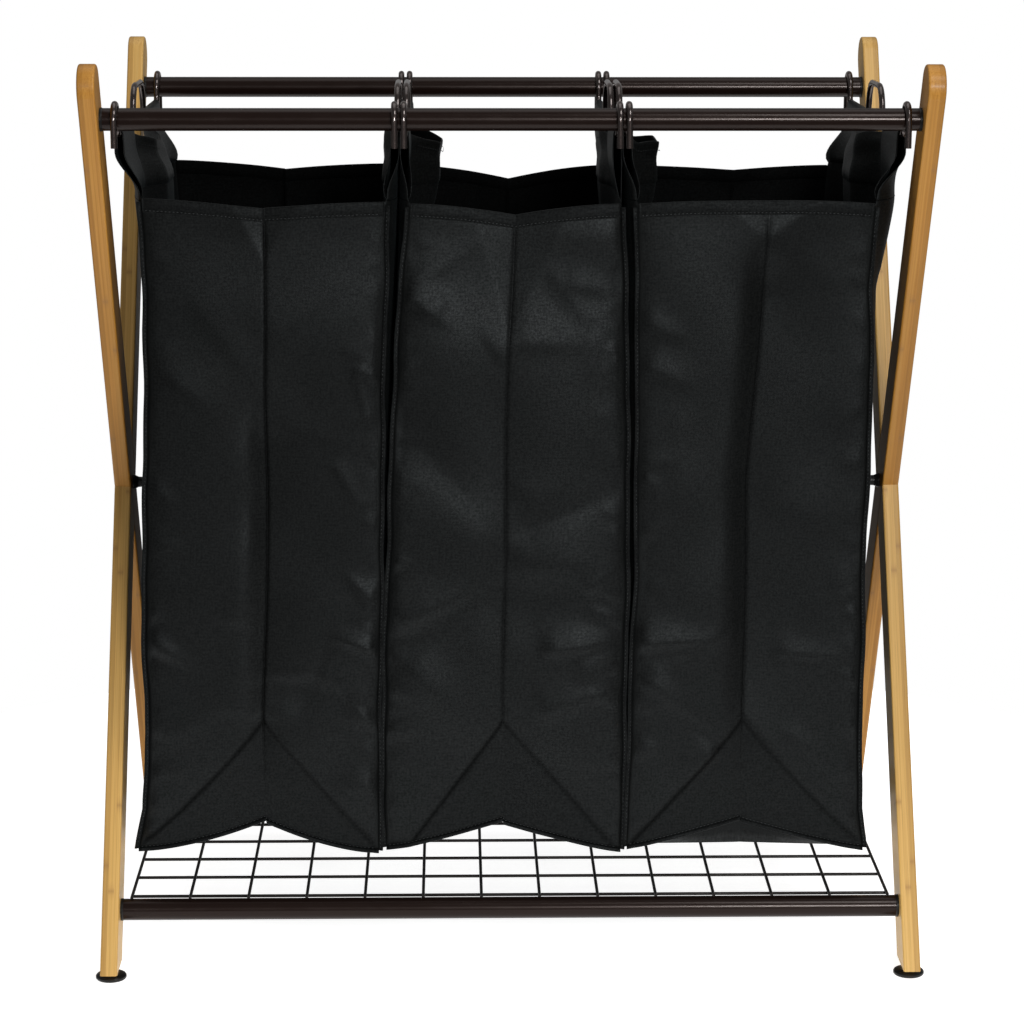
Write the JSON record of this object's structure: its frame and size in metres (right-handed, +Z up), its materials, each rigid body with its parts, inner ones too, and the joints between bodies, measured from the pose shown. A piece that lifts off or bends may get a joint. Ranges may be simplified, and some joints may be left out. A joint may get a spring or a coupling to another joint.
{
  "type": "laundry sorter",
  "caption": "Free-standing laundry sorter: open cloth bags hung by wire hooks from the tubes of a crossed-leg bamboo frame, over a wire shelf.",
  "frame": {"origin": "on the floor, in the middle of the four feet", "axes": "+X to the right along the tubes, +Y to the back, +Z up"},
  "size_m": [0.73, 0.4668, 0.796],
  "materials": {
    "bamboo": "clear satin lacquer",
    "bronze": "gloss bronze-black powder coat",
    "bolt_steel": "bronze-black coated steel",
    "hanger_wire": "gloss bronze-black coated wire",
    "black_wire": "satin black coated wire",
    "black_plastic": "satin black moulded plastic",
    "zinc": "zinc plated",
    "bag_cloth": "black coated oxford polyester",
    "bag_trim": "black coated oxford polyester, folded and stitched"
  },
  "bodies": {
    "frame": {"leg_a_left": "bamboo", "leg_b_left": "bamboo", "leg_a_right": "bamboo", "leg_b_right": "bamboo", "tube_top_front": "bronze", "tube_top_back": "bronze", "tube_bottom_front": "bronze", "tube_bottom_back": "bronze", "tube_end_plugs": "black_plastic", "tube_bolts": "bolt_steel", "lap_bolts": "bolt_steel", "lap_nuts": "black_plastic", "shelf_cross_wires": "black_wire", "shelf_long_wires": "black_wire", "foot_inserts": "zinc"},
    "foot_front_left": {"foot_pad_front_left": "black_plastic", "foot_stud_front_left": "zinc"},
    "foot_front_right": {"foot_pad_front_right": "black_plastic", "foot_stud_front_right": "zinc"},
    "foot_back_left": {"foot_pad_back_left": "black_plastic", "foot_stud_back_left": "zinc"},
    "foot_back_right": {"foot_pad_back_right": "black_plastic", "foot_stud_back_right": "zinc"},
    "bag_left": {"bag_left_panels": "bag_cloth", "bag_left_hems": "bag_trim", "bag_left_binding": "bag_trim", "bag_left_sleeves": "bag_trim", "bag_left_hanger_outer": "hanger_wire", "bag_left_hanger_inner": "hanger_wire"},
    "bag_middle": {"bag_middle_panels": "bag_cloth", "bag_middle_hems": "bag_trim", "bag_middle_binding": "bag_trim", "bag_middle_sleeves": "bag_trim", "bag_middle_hanger_left": "hanger_wire", "bag_middle_hanger_right": "hanger_wire"},
    "bag_right": {"bag_right_panels": "bag_cloth", "bag_right_hems": "bag_trim", "bag_right_binding": "bag_trim", "bag_right_sleeves": "bag_trim", "bag_right_hanger_inner": "hanger_wire", "bag_right_hanger_outer": "hanger_wire"}
  },
  "joints": [
    {"name": "bag_left_lift", "type": "slide", "parent": "frame", "child": "bag_left", "axis": [0, 0, 1], "range_m": [0, 0.71]},
    {"name": "bag_middle_lift", "type": "slide", "parent": "frame", "child": "bag_middle", "axis": [0, 0, 1], "range_m": [0, 0.71]},
    {"name": "bag_right_lift", "type": "slide", "parent": "frame", "child": "bag_right", "axis": [0, 0, 1], "range_m": [0, 0.71]},
    {"name": "foot_front_left_level", "type": "slide", "parent": "frame", "child": "foot_front_left", "axis": [0, 0, -1], "range_m": [0, 0.008]},
    {"name": "foot_front_right_level", "type": "slide", "parent": "frame", "child": "foot_front_right", "axis": [0, 0, -1], "range_m": [0, 0.008]},
    {"name": "foot_back_left_level", "type": "slide", "parent": "frame", "child": "foot_back_left", "axis": [0, 0, -1], "range_m": [0, 0.008]},
    {"name": "foot_back_right_level", "type": "slide", "parent": "frame", "child": "foot_back_right", "axis": [0, 0, -1], "range_m": [0, 0.008]}
  ]
}
